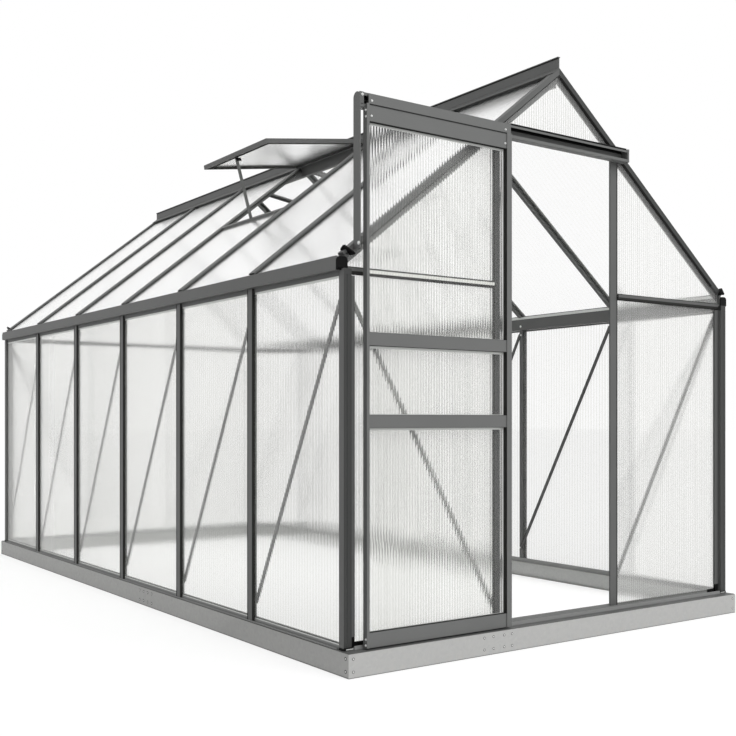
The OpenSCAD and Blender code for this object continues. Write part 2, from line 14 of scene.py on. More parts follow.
import bmesh
import bpy
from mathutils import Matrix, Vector


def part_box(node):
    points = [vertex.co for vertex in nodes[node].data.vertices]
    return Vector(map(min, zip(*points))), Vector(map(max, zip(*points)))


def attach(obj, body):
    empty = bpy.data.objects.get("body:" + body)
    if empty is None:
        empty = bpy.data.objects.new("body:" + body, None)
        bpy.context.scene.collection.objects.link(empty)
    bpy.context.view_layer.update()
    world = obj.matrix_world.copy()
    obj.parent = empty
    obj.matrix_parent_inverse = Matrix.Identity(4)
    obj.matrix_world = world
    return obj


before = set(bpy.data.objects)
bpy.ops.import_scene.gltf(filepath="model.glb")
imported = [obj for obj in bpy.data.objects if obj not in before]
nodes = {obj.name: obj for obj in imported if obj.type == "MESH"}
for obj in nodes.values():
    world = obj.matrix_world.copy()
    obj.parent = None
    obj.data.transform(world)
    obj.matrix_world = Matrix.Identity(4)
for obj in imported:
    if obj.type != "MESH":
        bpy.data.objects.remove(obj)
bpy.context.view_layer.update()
MM = 0.001

# %% [markdown]
# ## The main lines of the house
# A fitter works from a few lines: the faces of the walls, the pitch of the roof
# and the spacing of the bars. Each is read here from the solids once, in
# millimetres, so that every seal and bolt below is placed from the same lines.

# %% Lines of the walls and roof
def reach(node):
    """Lowest and highest corner of a node in millimetres."""
    low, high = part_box(node)
    return Vector(low) / MM, Vector(high) / MM


WALL_X = reach("right_wall_posts")[1].x      # outer face of the side walls
GABLE_Y = -reach("front_gable_rafters")[0].y # outer face of the gables
GUTTER_X = reach("right_gutter")[1].x        # outer face of the gutters
BASE_X, BASE_Y = reach("base_right")[1].x, reach("base_rear")[1].y
SILL_TOP, LIP_TOP = 80.0, 92.0               # top of the sills and of their lips
EAVE_Z, GUTTER_H = 1358.0, 46.0              # top edge and height of the gutters
TIE_LOW, TIE_HIGH = 1306.0, 1324.0           # edges of the gables' tie bars
BAY = 620.0                                  # spacing of the glazing bars
POST_YS = [BAY * k for k in (-2, -1, 0, 1, 2)]
DOOR_POST_X = BAY / 2
HALF_BAR, BAR_DEPTH = 20.0, 24.0             # half the width of a bar, and its depth
PITCH = radians(38.5)
ROOF_SINK = 6.0                              # the slope passes this far under the eave
APEX_Z = EAVE_Z - ROOF_SINK + tan(PITCH) * GUTTER_X
RAFTER_END = (GUTTER_X - 24) / cos(PITCH)    # down the slope, from the apex
RAFTER_LIP = 19.0                            # height of a gable rafter's front lip
SIDES = (-1, 1)                              # left and right, or front and rear
CORNERS = [(side, end) for side in SIDES for end in SIDES]
print(f"walls at {WALL_X:.0f} and {GABLE_Y:.0f} mm, apex at {APEX_Z:.0f} mm")

# %% [markdown]
# ## Tools of the bench
# Three shapes make nearly all trim. A *sweep* pushes a drawn section along a
# straight line, as an extruded seal is made. A *turned* part spins a profile
# round a line, as a rivet or washer is made, and with six sides it is a nut. A
# *slab* is a flat plate. Blender's own cubes and cylinders could be placed by
# hand, but a section says more about the part, and it is changed in one place.

# %% Sweeps and turned parts
def sweep(section, start, end, across, up):
    """A closed section, in mm across and mm up, pushed from start to end (mm)."""
    start, end, across, up = (Vector(v) for v in (start, end, across, up))
    rows = [p + across * a + up * b for p in (start, end) for a, b in section]
    n = len(section)
    sides = [(i, (i + 1) % n, n + (i + 1) % n, n + i) for i in range(n)]
    return rows, sides + [tuple(reversed(range(n))), tuple(range(n, 2 * n))]


def turned(profile, at, out, sides):
    """Pairs of (radius, height) in mm, spun round the line through at along out."""
    at, out = Vector(at), Vector(out).normalized()
    side = out.orthogonal().normalized()
    other = out.cross(side)
    rows = [at + out * h + (side * cos(t) + other * sin(t)) * r
            for r, h in profile
            for t in (2 * pi * k / sides for k in range(sides))]
    faces = [(j * sides + k, j * sides + (k + 1) % sides,
              (j + 1) * sides + (k + 1) % sides, (j + 1) * sides + k)
             for j in range(len(profile) - 1) for k in range(sides)]
    last = (len(profile) - 1) * sides
    return rows, faces + [tuple(reversed(range(sides))),
                          tuple(range(last, last + sides))]


def slab(low, high):
    """A flat plate between two corners in mm."""
    (x0, y0, z0), (x1, y1, z1) = low, high
    return sweep([(x0, y0), (x1, y0), (x1, y1), (x0, y1)],
                 (0, 0, z0), (0, 0, z1), (1, 0, 0), (0, 1, 0))


print("a slab has", len(slab((0, 0, 0), (1, 1, 1))[1]), "faces")


# %% [markdown]
# ## Many parts, one mesh
# A house like this has about a hundred bolts and rivets. Each could be an object
# of its own, but that would slow the scene and gain nothing. So all the parts of
# one kind are joined in one mesh, with one finish. Where the real edges are
# rounded, a bevel softens them.

# %% Joining parts into one piece
def piece(name, shapes, finish, body="frame", soften=0.0):
    """One mesh from many shapes, its edges softened by some mm, riding on a body."""
    made = bmesh.new()
    for rows, faces in shapes:
        corners = [made.verts.new(Vector(v) * MM) for v in rows]
        for face in faces:
            made.faces.new([corners[i] for i in face])
    bmesh.ops.recalc_face_normals(made, faces=made.faces)
    mesh = bpy.data.meshes.new(name)
    made.to_mesh(mesh)
    made.free()
    mesh.materials.append(finish)
    thing = bpy.data.objects.new(name, mesh)
    bpy.context.scene.collection.objects.link(thing)
    if soften:
        edge = thing.modifiers.new("softened edges", "BEVEL")
        edge.width, edge.segments = soften * MM, 2
        edge.limit_method, edge.angle_limit = "ANGLE", radians(35)
    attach(thing, body)
    print(f"{name}: {len(shapes)} shapes, {len(mesh.polygons)} faces")


# %% [markdown]
# ## Colours and nodes
# Colours are written as the hex values that a paint card shows. Blender works in
# linear light, so one function turns them. One more adds a node with its settings
# and its links, and every finish below is made with it.

# %% Colour and node tools
def srgb(text):
    """Linear red, green, blue and alpha from a hex colour."""
    parts = [int(text[i:i + 2], 16) / 255 for i in (1, 3, 5)]
    return [c / 12.92 if c <= 0.04045 else ((c + 0.055) / 1.055) ** 2.4
            for c in parts] + [1.0]


def node(tree, kind, links=None, values=None, **settings):
    """Adds a node: links join sockets, values set them, settings set the node."""
    made = tree.nodes.new(kind)
    for key, value in settings.items():
        setattr(made, key, value)
    for key, value in (values or {}).items():
        made.inputs[key].default_value = value
    for key, source in (links or {}).items():
        tree.links.new(source, made.inputs[key])
    return made


def material(name):
    """An empty material: its node tree and its output."""
    made = bpy.data.materials.new(name)
    made.use_nodes = True
    made.node_tree.nodes.clear()
    return made, made.node_tree, made.node_tree.nodes.new("ShaderNodeOutputMaterial")


print(f"#808080 is {srgb('#808080')[0]:.3f} in linear light")


# %% [markdown]
# ## The camera
# The camera stands at hip height off the front left corner, and looks level. It
# could be tilted up to bring the ridge into the frame, but then the posts would
# lean together. A level camera keeps every post upright, and a small lens shift
# brings in the ridge, as the rising front of a view camera does.

# %% Camera
lens = bpy.data.cameras.new("camera")
lens.lens, lens.sensor_width = 51.17, 36.0   # mm
lens.shift_y = 0.0693                        # a share of the frame's width
lens.clip_start, lens.clip_end = 0.1, 100
camera = bpy.data.objects.new("camera", lens)
camera.location = (-2.875, -4.665, 0.830)
camera.rotation_euler = (pi / 2, 0, -0.6148)
bpy.context.scene.collection.objects.link(camera)
bpy.context.scene.camera = camera
print("camera", tuple(camera.location), "lens", lens.lens)

# %% [markdown]
# ## Daylight in a studio
# The light is that of a large white room. The world gives most of it from all
# round, and one very wide soft lamp in front adds the rest, so that the gable is
# a little lighter than the long wall. A room with real lamps could do it too, but
# it would need many of them, and would leave grain in the clear sheets. Where the
# lens, a mirror or a sheet looks straight at the room, it sees plain white.

# %% Where plain white is seen
def sees_white(tree, through=1.0):
    """1 where the lens or a mirror looks at this, through where a clear sheet does."""
    path = node(tree, "ShaderNodeLightPath")
    mirror = node(tree, "ShaderNodeMath", {0: path.outputs["Is Camera Ray"],
                  1: path.outputs["Is Glossy Ray"]}, operation="MAXIMUM")
    sheet = path.outputs["Is Transmission Ray"]
    any_way = node(tree, "ShaderNodeMath", {0: mirror.outputs[0], 1: sheet},
                   operation="MAXIMUM")
    return node(tree, "ShaderNodeMath", {0: sheet, 2: any_way.outputs[0]},
                {1: through - 1.0}, operation="MULTIPLY_ADD").outputs[0]


# %% World and lamp
scene = bpy.context.scene
scene.view_settings.view_transform = "Standard"
ROOM_LIGHT = 0.75                            # strength of the light from all round

world = bpy.data.worlds.new("white room")
world.use_nodes = True
room = world.node_tree
room.nodes.clear()
level = node(room, "ShaderNodeMapRange", {"Value": sees_white(room)},
             {"To Min": ROOM_LIGHT, "To Max": 1.0})
walls = node(room, "ShaderNodeBackground", {"Strength": level.outputs["Result"]},
             {"Color": (1, 1, 1, 1)})
node(room, "ShaderNodeOutputWorld", {"Surface": walls.outputs[0]})
scene.world = world

TO_LAMP = Vector((0.15, -0.75, 0.64))        # in front, a little right, and above
lamp = bpy.data.lights.new("soft lamp", "SUN")
lamp.energy, lamp.angle = 1.35, radians(50)
lamp_stand = bpy.data.objects.new("soft lamp", lamp)
lamp_stand.rotation_euler = TO_LAMP.to_track_quat("Z", "Y").to_euler()
scene.collection.objects.link(lamp_stand)
print("room light", ROOM_LIGHT, "lamp", lamp.energy)

# %% [markdown]
# ## The floor
# The house stands on white paper. A plain white plane would turn grey under this
# light. So where it is looked at, most of its white is its own glow, and shadows
# stay soft. Seen through a sheet it glows less, so the ground indoors looks a
# little dimmer, as it does under a roof.

# %% Floor
paper, tree, out = material("white_paper_floor")
WHITE, WATCHED_WHITE, GLOW = 0.8, 0.34, 0.7  # paint as lit, paint and glow as seen
watched = sees_white(tree, through=0.5)
shade = node(tree, "ShaderNodeMapRange", {"Value": watched},
             {"To Min": WHITE, "To Max": WATCHED_WHITE}).outputs["Result"]
shine = node(tree, "ShaderNodeMapRange", {"Value": watched},
             {"To Min": 0.0, "To Max": GLOW}).outputs["Result"]
matt = node(tree, "ShaderNodeBsdfDiffuse", {"Color": node(
    tree, "ShaderNodeCombineColor", {"Red": shade, "Green": shade, "Blue": shade}
    ).outputs["Color"]})
glow = node(tree, "ShaderNodeEmission", {"Strength": shine}, {"Color": (1, 1, 1, 1)})
both = node(tree, "ShaderNodeAddShader", {0: matt.outputs[0], 1: glow.outputs[0]})
tree.links.new(both.outputs[0], out.inputs["Surface"])

FAR, UNDER = 60, -0.001                      # metres: half its width, and its height
ground = bpy.data.meshes.new("floor")
ground.from_pydata([(-FAR, -FAR, UNDER), (FAR, -FAR, UNDER), (FAR, FAR, UNDER),
                    (-FAR, FAR, UNDER)], [], [(0, 1, 2, 3)])
ground.materials.append(paper)
floor = bpy.data.objects.new("floor", ground)
scene.collection.objects.link(floor)
print("floor", 2 * FAR, "metres wide")

# %% [markdown]
# ## Powder-coated aluminium
# The bars are extruded aluminium, sprayed with a dry grey powder that is baked to
# a skin. The eye sees a plain mid grey with a silky, never mirror-like, shine and
# a faint orange-peel texture. One flat colour would do from afar, but real coats
# vary a little, so two close tones drift into each other. The coat is paint, so it
# isn't metallic at all.

# %% Finish of the bars
def powder_coating(name, dark, light):
    """Baked grey powder: two close tones that drift slowly along a bar."""
    made, tree, out = material(name)
    place = node(tree, "ShaderNodeTexCoord").outputs["Object"]
    # Real orange peel is about 1 mm across; it is drawn at 5 mm, or it wouldn't show.
    peel = node(tree, "ShaderNodeTexNoise", {"Vector": place},
                {"Scale": 1 / (5 * MM), "Detail": 2.0, "Roughness": 0.6})
    # A coat varies a little from bar to bar and along a bar, over about 300 mm.
    drift = node(tree, "ShaderNodeTexNoise", {"Vector": place},
                 {"Scale": 1 / (300 * MM), "Detail": 3.0})
    tone = node(tree, "ShaderNodeMix", {"Factor": drift.outputs["Fac"]},
                data_type="RGBA")
    tone.inputs["A"].default_value = srgb(dark)
    tone.inputs["B"].default_value = srgb(light)
    sheen = node(tree, "ShaderNodeMapRange", {"Value": peel.outputs["Fac"]},
                 {"To Min": 0.44, "To Max": 0.58})
    skin = node(tree, "ShaderNodeBump", {"Height": peel.outputs["Fac"]},
                {"Strength": 0.12, "Distance": 0.4 * MM})
    coat = node(tree, "ShaderNodeBsdfPrincipled",
                {"Base Color": tone.outputs["Result"],
                 "Roughness": sheen.outputs["Result"],
                 "Normal": skin.outputs["Normal"]}, {"IOR": 1.5})
    tree.links.new(coat.outputs[0], out.inputs["Surface"])
    print(name)
    return made


# The door's coat is painted a shade lighter than the walls', as the light that it
# catches in front of the gable. The coat of the corner posts' fronts is painted near
# black, as the shade on them. The sills' lips are painted lighter, as a highlight.
door_coat_painted_lit = powder_coating("powder_coated_aluminium_door", "#5a5b5a", "#666766")
wall_coat = powder_coating("powder_coated_aluminium_bars", "#4c4d4c", "#585958")
sill_highlight_coat = powder_coating("powder_coat_painted_sill_lip_highlight", "#7f807f", "#8b8c8b")
shade_coat = powder_coating("powder_coat_painted_shade_near_black", "#232423", "#2b2c2b")

# %% [markdown]
# ## Hot-dip galvanised steel
# The base is folded from steel strip that was dipped in zinc. Zinc freezes in
# flat crystals, the spangle, each of which shines a little differently. Noise
# would make clouds, so a cell pattern is used, with its borders bent by noise.
# After a season outdoors the shine is dull, so the finish is only partly metallic.

# %% Finish of the base
def zinc_coating(name, dark, light):
    """Dipped zinc: flat crystals of two close tones, each with its own dullness."""
    made, tree, out = material(name)
    place = node(tree, "ShaderNodeTexCoord").outputs["Object"]
    # The borders wander by up to 6 mm, in waves of about 17 mm.
    wander = node(tree, "ShaderNodeTexNoise", {"Vector": place}, {"Scale": 60.0})
    bent = node(tree, "ShaderNodeVectorMath", {0: wander.outputs["Color"], 2: place},
                {1: [6 * MM] * 3}, operation="MULTIPLY_ADD")
    # Fine spangle has crystals of 6 to 12 mm.
    crystals = node(tree, "ShaderNodeTexVoronoi", {"Vector": bent.outputs[0]},
                    {"Scale": 1 / (10 * MM)})
    grey = node(tree, "ShaderNodeSeparateColor", {"Color": crystals.outputs["Color"]})
    tone = node(tree, "ShaderNodeMix", {"Factor": grey.outputs["Red"]},
                data_type="RGBA")
    tone.inputs["A"].default_value = srgb(dark)
    tone.inputs["B"].default_value = srgb(light)
    dull = node(tree, "ShaderNodeMapRange", {"Value": grey.outputs["Green"]},
                {"To Min": 0.42, "To Max": 0.56})
    steel = node(tree, "ShaderNodeBsdfPrincipled",
                 {"Base Color": tone.outputs["Result"],
                  "Roughness": dull.outputs["Result"]}, {"Metallic": 0.35})
    tree.links.new(steel.outputs[0], out.inputs["Surface"])
    print(name)
    return made


galvanised = zinc_coating("hot_dip_galvanised_steel", "#adadac", "#b1b1af")
# The inner faces are painted lighter, as light on the shaded inside of the base.
lit_zinc_indoors = zinc_coating("hot_dip_galvanised_steel_painted_lighter_indoors", "#babbba", "#c0c1bf")
# The long sides are painted darker, as the shade of the sides turned from the lamp.
shaded_side_zinc = zinc_coating("hot_dip_galvanised_steel_painted_shade_sides", "#989897", "#9c9c9a")

# %% [markdown]
# ## Twin-wall polycarbonate
# The sheets are extruded: two thin skins with upright ribs every few millimetres
# between them. The flutes act as a row of tiny lenses that throw light sideways
# only. Through a sheet a post melts away, while a level bar stays as a soft line.
# Thousands of real flutes could be modelled, but they are finer than a render
# shows. So the finish is clear plastic whose surface leans left and right in turn,
# never up or down.

# %% Flutes as tiny lenses
STREAK, LONG = 1.5, 1 / 600        # strength of the streaks, and how far they stretch


def flute_waves(tree, across, flute, rib, wide):
    """Two values that swing round 0 across a sheet: its lens, and its ribs' shade."""
    place = node(tree, "ShaderNodeTexCoord").outputs["Object"]
    apart = node(tree, "ShaderNodeSeparateXYZ", {"Vector": place})
    # A real flute is about 6 mm wide, which is too fine to see from here. The lens
    # is drawn one or two flutes wide, and the ribs' shade two to four, so that it
    # shows as fine upright lines.
    waves = []
    for width in (flute, rib):
        turn = node(tree, "ShaderNodeMath", {0: apart.outputs["XYZ".index(across)]},
                    {1: 2 * pi / (width * MM)}, operation="MULTIPLY")
        waves.append(node(tree, "ShaderNodeMath", {0: turn.outputs[0]},
                          operation="SINE").outputs[0])
    # Streaks: every few flutes differ a little, and run the whole sheet's length.
    squeeze = [LONG, LONG, LONG]
    squeeze["XYZ".index(across)] = 1.0
    drawn = node(tree, "ShaderNodeVectorMath", {0: place}, {1: squeeze},
                 operation="MULTIPLY")
    streak = node(tree, "ShaderNodeTexNoise", {"Vector": drawn.outputs[0]},
                  {"Scale": 1 / (wide * MM), "Detail": 4.0, "Roughness": 0.7})
    uneven = node(tree, "ShaderNodeMath", {0: streak.outputs["Fac"]},
                  {1: 0.5}, operation="SUBTRACT")
    return [node(tree, "ShaderNodeMath", {0: uneven.outputs[0], 2: wave},
                 {1: STREAK}, operation="MULTIPLY_ADD").outputs[0] for wave in waves]


def leaning(tree, across, lens, tilt):
    """The direction that a sheet faces, leant to and fro across its flutes."""
    lean = node(tree, "ShaderNodeMath", {0: lens}, {1: tilt}, operation="MULTIPLY")
    flat = node(tree, "ShaderNodeNewGeometry").outputs["Normal"]
    side = [0.0, 0.0, 0.0]
    side["XYZ".index(across)] = 1.0
    pushed = node(tree, "ShaderNodeVectorMath", {0: lean.outputs[0], 2: flat},
                  {1: side}, operation="MULTIPLY_ADD")
    return node(tree, "ShaderNodeVectorMath", {0: pushed.outputs[0]},
                operation="NORMALIZE").outputs[0]


# %% [markdown]
# ## Milky ribs
# Looked at straight, a sheet is clear. Looked at along its face, the eye meets rib
# after rib, and the sheet turns milky. A second shader holds that milk, and the
# angle of the face mixes it in. It could be an even haze instead, but then the
# near bays would be as milky as the far ones.

# %% Milk between the skins
def milky_ribs(tree, tone, gloss):
    """Ribs that scatter light to both sides, with a share of soft gloss."""
    near = node(tree, "ShaderNodeBsdfDiffuse", {"Color": tone})
    far = node(tree, "ShaderNodeBsdfTranslucent", {"Color": tone})
    ribs = node(tree, "ShaderNodeMixShader", {1: near.outputs[0], 2: far.outputs[0]},
                {0: 0.35})
    sky = node(tree, "ShaderNodeBsdfGlossy", {"Color": tone}, {"Roughness": 0.25})
    return node(tree, "ShaderNodeMixShader", {1: ribs.outputs[0], 2: sky.outputs[0]},
                {0: gloss}).outputs[0]


def by_angle(tree, straight, along):
    """Goes from one shader to the other as the face turns away from the eye."""
    glance = node(tree, "ShaderNodeLayerWeight", values={"Blend": 0.5})
    milk = node(tree, "ShaderNodeMapRange", {"Value": glance.outputs["Facing"]},
                {"From Min": 0.62, "From Max": 0.90, "To Min": 0.0, "To Max": 0.85})
    return node(tree, "ShaderNodeMixShader", {0: milk.outputs["Result"],
                                              1: straight, 2: along}).outputs[0]


# %% [markdown]
# ## The whole sheet
# Clear polycarbonate bends light with an IOR of 1.58. But light leaves a thin
# sheet nearly as it came in, so a value of 1.1 to 1.2 is used, with the lean of
# the flutes doing the rest. Lamps shine straight through, with a slight tint, so
# that the light inside the house is real too.

# %% Finish of the sheets
LIGHT, ROUGH = "#ffffff", 0.09     # the clear part of a flute, and its soft skin


def twin_wall(name, across, tilt, ior, clear, gloss, flute, rib, wide, dark):
    """Clear sheet whose flutes lean its surface along one direction, across."""
    made, tree, out = material(name)
    lens, shade = flute_waves(tree, across, flute, rib, wide)
    # The upper half of the swing stays clear, so the shaded ribs are narrow.
    spread = node(tree, "ShaderNodeMapRange", {"Value": shade},
                  {"From Min": -1.3, "From Max": 0.3})
    tone = node(tree, "ShaderNodeMix", {"Factor": spread.outputs["Result"]},
                data_type="RGBA")
    tone.inputs["A"].default_value = srgb(dark)
    tone.inputs["B"].default_value = srgb(LIGHT)
    sheet = node(tree, "ShaderNodeBsdfPrincipled",
                 {"Base Color": tone.outputs["Result"],
                  "Normal": leaning(tree, across, lens, tilt)},
                 {"Roughness": ROUGH, "IOR": ior, "Transmission Weight": clear})
    ribs = milky_ribs(tree, tone.outputs["Result"], gloss)
    whole = by_angle(tree, sheet.outputs[0], ribs)
    open_way = node(tree, "ShaderNodeBsdfTransparent", values={"Color": srgb("#f0f2ee")})
    lamps = node(tree, "ShaderNodeLightPath").outputs["Is Shadow Ray"]
    either = node(tree, "ShaderNodeMixShader", {0: lamps, 1: whole,
                                                2: open_way.outputs[0]})
    tree.links.new(either.outputs[0], out.inputs["Surface"])
    print(name, "flutes lean along", across)
    return made


# %% [markdown]
# ## Four kinds of sheet
# All the sheets come from one factory, but they don't look alike. The long walls
# and the roof are seen aslant, the gables nearly straight, and the door stands in
# front of everything else. One finish for all would be too clear on one side or
# too milky on another, so each kind gets its own lean, ribs and tone.

# %% Sheets of the walls, roof, gables and door
wall_sheet = twin_wall("twin_wall_polycarbonate_long_walls", "Y", tilt=0.10, ior=1.1,
                       clear=0.92, gloss=0.0, flute=9.0, rib=18.0, wide=16.0,
                       dark="#f2f2ef")
roof_sheet = twin_wall("twin_wall_polycarbonate_roof", "Y", tilt=0.02, ior=1.1,
                       clear=0.95, gloss=1.0, flute=12.0, rib=24.0, wide=24.0,
                       dark="#fdfdfc")
gable_sheet = twin_wall("twin_wall_polycarbonate_gables", "X", tilt=0.14, ior=1.2,
                        clear=0.88, gloss=0.0, flute=6.0, rib=12.0, wide=9.0,
                        dark="#e4e4e1")
door_sheet = twin_wall("twin_wall_polycarbonate_door", "X", tilt=0.24, ior=1.2,
                       clear=0.98, gloss=0.0, flute=11.6, rib=11.6, wide=9.0,
                       dark="#eaeae8")

# %% [markdown]
# ## Rubber, moulded plastic and bolts
# Dark EPDM rubber seals the sheets against the bars: dull, almost black. The same
# rubber is also laid where there is only shade, beside bars and in gaps: painted
# shade. The shoes, wheels and end caps are moulded in black nylon, a little shinier.
# Bolts and rivets are steel with a bright zinc plating, thin enough to stay metallic.
# The cut ends of the sheets are closed with aluminium tape. A dark zinc tone is a
# painted shadow along the base's foot, and a pale one a painted highlight on a tie.
# All of them are small and plain, so one function with two tones and a fine grain is enough
# for each.

# %% Finishes of the small parts
def plain_finish(name, dark, light, grain, rough, metallic=0.0, shine=0.5):
    """A finish with two close tones, mixed by a grain of that many mm."""
    made, tree, out = material(name)
    place = node(tree, "ShaderNodeTexCoord").outputs["Object"]
    speck = node(tree, "ShaderNodeTexNoise", {"Vector": place},
                 {"Scale": 1 / (grain * MM), "Detail": 3.0})
    tone = node(tree, "ShaderNodeMix", {"Factor": speck.outputs["Fac"]},
                data_type="RGBA")
    tone.inputs["A"].default_value = srgb(dark)
    tone.inputs["B"].default_value = srgb(light)
    gloss = node(tree, "ShaderNodeMapRange", {"Value": speck.outputs["Fac"]},
                 {"To Min": rough - 0.07, "To Max": rough + 0.07})
    skin = node(tree, "ShaderNodeBump", {"Height": speck.outputs["Fac"]},
                {"Strength": 0.1, "Distance": 0.3 * MM})
    body = node(tree, "ShaderNodeBsdfPrincipled",
                {"Base Color": tone.outputs["Result"], "Roughness": gloss.outputs["Result"],
                 "Normal": skin.outputs["Normal"]},
                {"Metallic": metallic, "Specular IOR Level": shine})
    tree.links.new(body.outputs[0], out.inputs["Surface"])
    print(name)
    return made


# The rubber also stands where there is only shade: painted shade.
rubber_and_shade = plain_finish("epdm_rubber_and_painted_shade", "#232322", "#2c2c2b", 3, 0.75, shine=0.15)
nylon = plain_finish("moulded_black_nylon", "#0e0e0e", "#161616", 2, 0.45, shine=0.06)
zinc = plain_finish("zinc_plated_steel", "#d3d4d3", "#e4e5e3", 2, 0.35, metallic=0.5)
# A dark zinc tone: painted shadow for the base's foot.
foot_shadow_paint = plain_finish("painted_foot_shadow_zinc", "#6c6d6b", "#7e7f7d", 25, 0.7)
foil = plain_finish("aluminium_edge_tape", "#c4c6c3", "#d2d4d1", 4, 0.4, metallic=0.3)
# A pale tone: painted highlight for the tie behind the door.
tie_highlight_paint = plain_finish("painted_tie_highlight", "#c9c9c6", "#dededb", 1.5, 0.8, shine=0.2)

# %% [markdown]
# ## Every solid gets its finish
# The loaded solids keep their shapes. Only the material in their first slot is
# changed, by the kind of part that each one is. Names could be typed out one by
# one, but a rule for the many grey bars is shorter and forgets none.

# %% Finishes on the solids
def dress(names, finish):
    """Puts one finish on the whole of each named solid."""
    for name in names:
        nodes[name].data.materials.clear()
        nodes[name].data.materials.append(finish)
    print(f"{finish.name}: {', '.join(names)}")


STEEL = [name for name in nodes if name.startswith("base_")]
OTHERS = {
    wall_sheet: ["left_wall_panels", "right_wall_panels"],
    roof_sheet: ["left_roof_panels", "right_roof_panels", "vent_panels"],
    gable_sheet: ["front_gable_panels", "rear_gable_panels"],
    door_sheet: ["door_panels"],
    nylon: ["eave_end_caps", "door_rollers", "door_guides"],
}
for finish, names in OTHERS.items():
    dress(names, finish)
BARS = [name for name in nodes if name not in STEEL + sum(OTHERS.values(), [])]
dress(["base_front", "base_rear"], galvanised)
dress(["base_left", "base_right"], shaded_side_zinc)
dress([name for name in BARS if not name.startswith("door_")], wall_coat)
dress([name for name in BARS if name.startswith("door_")], door_coat_painted_lit)

# %% [markdown]
# ## Two finishes on one solid
# Some faces are painted lighter or darker than the rest of their solid, to stand in
# for light and shade. A second solid could be laid over such a face, but it would
# flicker or stand out. So the face itself is given the second finish of its solid.

# %% Faces with a finish of their own
def finish_faces(names, finish, chosen):
    """Gives the chosen faces of each named solid a second finish."""
    for name in names:
        mesh = nodes[name].data
        mesh.materials.append(finish)
        for face in mesh.polygons:
            if chosen(name, face.center / MM, face.normal):
                face.material_index = 1
        print(finish.name, "on", name)


def on_corner_front(name, at, out):
    """Front faces of the corner posts that stand out of the gables: painted shade."""
    return abs(out.y) > 0.9 and abs(at.y) > GABLE_Y + 5


def on_right_rafter(name, at, out):
    """Front faces of the rafter that is on the right, seen from outside its gable."""
    end = -1 if name.startswith("front_") else 1
    return out.y * end > 0.9 and -at.x * end > 0


def on_sill_lip(name, at, out):
    """Faces whose middle lies between the sill's top and its lip's."""
    return SILL_TOP < at.z < LIP_TOP + 0.5


def looks_indoors(name, at, out):
    """Faces that are turned towards the middle of the house."""
    return out.x * at.x + out.y * at.y < -100


# The corner posts' fronts get the near-black coat: painted shade.
finish_faces(["corner_posts"], shade_coat, on_corner_front)
# The front faces of the right-hand gable rafters get that painted shade too.
finish_faces(["front_gable_rafters", "rear_gable_rafters"], shade_coat, on_right_rafter)
# The sills' outer lips, which hold the sheets' feet, get a painted highlight: a lighter
# coat.
finish_faces(["sill_front", "sill_rear", "sill_left", "sill_right"], sill_highlight_coat, on_sill_lip)
# The base's inner faces get the zinc that is painted lighter, as light.
finish_faces(STEEL, lit_zinc_indoors, looks_indoors)

# %% [markdown]
# ## Edges that catch the light
# An extruded bar has edges rounded by about half a millimetre, and folded steel
# bends round a larger radius. A sharp edge in a render gives no highlight, and
# looks cut from paper. A bevel that acts on the drawn shape only is enough.

# %% Rounded edges
BAR_ROUND, STEEL_ROUND = 0.6, 1.2
for name in BARS + STEEL:
    edge = nodes[name].modifiers.new("round edges", "BEVEL")
    edge.width, edge.segments = (STEEL_ROUND if name in STEEL else BAR_ROUND) * MM, 2
    edge.limit_method, edge.angle_limit = "ANGLE", radians(50)
print("rounded", len(BARS + STEEL), "solids")

# %% [markdown]
# ## Seals on the walls
# Black rubber closes every joint between a bar and a sheet. On the walls it wraps
# the edge of the cap, and shows as a dark line down both sides of the bar. Its strips
# cover the whole side of a post, so they also stand in for the shade there: painted
# shade. A line could be painted on the bar, but a real lip stands out and throws a
# shadow, so each seal is swept from its own section, as it is made.

# %% Seals beside the posts
# Sections in mm: across the bar's edge, and out of its face
POST_LIP = [(-4.5, 0), (-4.5, 0.5), (0.6, 0.5), (0.6, -9.5), (0, -9.5), (0, 0)]
FLAT_LIP = [(-4, 0), (-4, 0.5), (0.6, 0.5), (0.6, -1.8), (0, -1.8), (0, 0)]
POST_FOOT, POST_TOP = 84.0, EAVE_Z - GUTTER_H
GABLE_POST_Y = -reach("front_door_posts")[0].y    # outer face of the gable posts
BESIDE_POST = DOOR_POST_X + HALF_BAR + 1          # just past a gable post's edge
GABLE_POST_TOP = APEX_Z - RAFTER_LIP / cos(PITCH) - tan(PITCH) * BESIDE_POST

seals_and_shade = []
for side in SIDES:
    for y in POST_YS:
        for edge in SIDES:
            at = y + edge * HALF_BAR
            seals_and_shade.append(sweep(POST_LIP, (side * WALL_X, at, POST_FOOT),
                               (side * WALL_X, at, POST_TOP),
                               (0, edge, 0), (side, 0, 0)))
for end in SIDES:
    for x in (-DOOR_POST_X, DOOR_POST_X):
        for edge in SIDES:
            if end < 0 and x * edge < 0:
                continue  # the doorway side of a front post meets no sheet
            at = x + edge * HALF_BAR
            seals_and_shade.append(sweep(FLAT_LIP, (at, end * GABLE_POST_Y, LIP_TOP),
                               (at, end * GABLE_POST_Y, GABLE_POST_TOP),
                               (edge, 0, 0), (0, end, 0)))
print(len(seals_and_shade), "seals beside posts")

# %% Seals along the sills and ties
STRIP_X = 940.0                                   # inner edge of the corner strips
# How far each lip of a tie stands out of the gable, and its lower and upper edge
TIE_LIPS = ((-1.5, TIE_LOW - 4.5, TIE_LOW), (0.6, TIE_LOW - 1.5, TIE_LOW + 7),
            (-1.5, TIE_HIGH, TIE_HIGH + 3))
